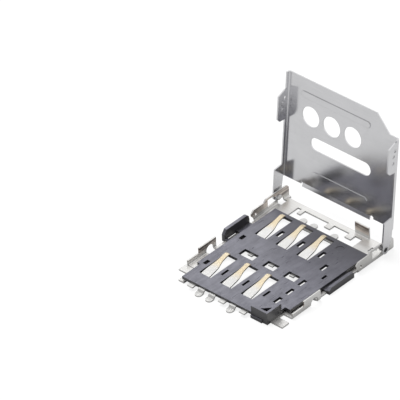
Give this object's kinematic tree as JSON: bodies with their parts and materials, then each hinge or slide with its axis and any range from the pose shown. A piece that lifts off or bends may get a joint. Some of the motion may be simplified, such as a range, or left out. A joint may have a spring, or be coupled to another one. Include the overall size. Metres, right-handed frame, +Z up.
{
  "type": "hinged card socket",
  "caption": "Open hinged socket for a small chip card: black contact plate with spring contacts, stainless frame and sliding, turning lid",
  "frame": {"origin": "on the board plane, midway across the card, 8.2 mm behind the card's front edge", "axes": "X along the contact rows, Y from the card's entry to the hinge, Z up from the board"},
  "size_m": [0.0136, 0.0181, 0.0136],
  "materials": {
    "plastic": "fine matte moulding",
    "frame_steel": "bright stamped sheet",
    "lid_steel": "satin rolled sheet",
    "contact_metal": "tin plated strip, gold flash on the tips"
  },
  "bodies": {
    "base": {"housing": "plastic", "frame": "frame_steel", "contact_c1": "contact_metal", "contact_c2": "contact_metal", "contact_c3": "contact_metal", "contact_c5": "contact_metal", "contact_c6": "contact_metal", "contact_c7": "contact_metal"},
    "bosses": {"hinge_bosses": "lid_steel"},
    "lid": {"lid": "lid_steel"}
  },
  "joints": [
    {"name": "lid_slide", "type": "slide", "parent": "base", "child": "bosses", "axis": [0, -1, 0], "range_m": [0, 0.001]},
    {"name": "lid_hinge", "type": "hinge", "parent": "bosses", "child": "lid", "pos_m": [0, 0.0067, 0.00078], "axis": [1, 0, 0], "range_deg": [0, 96.7]}
  ]
}
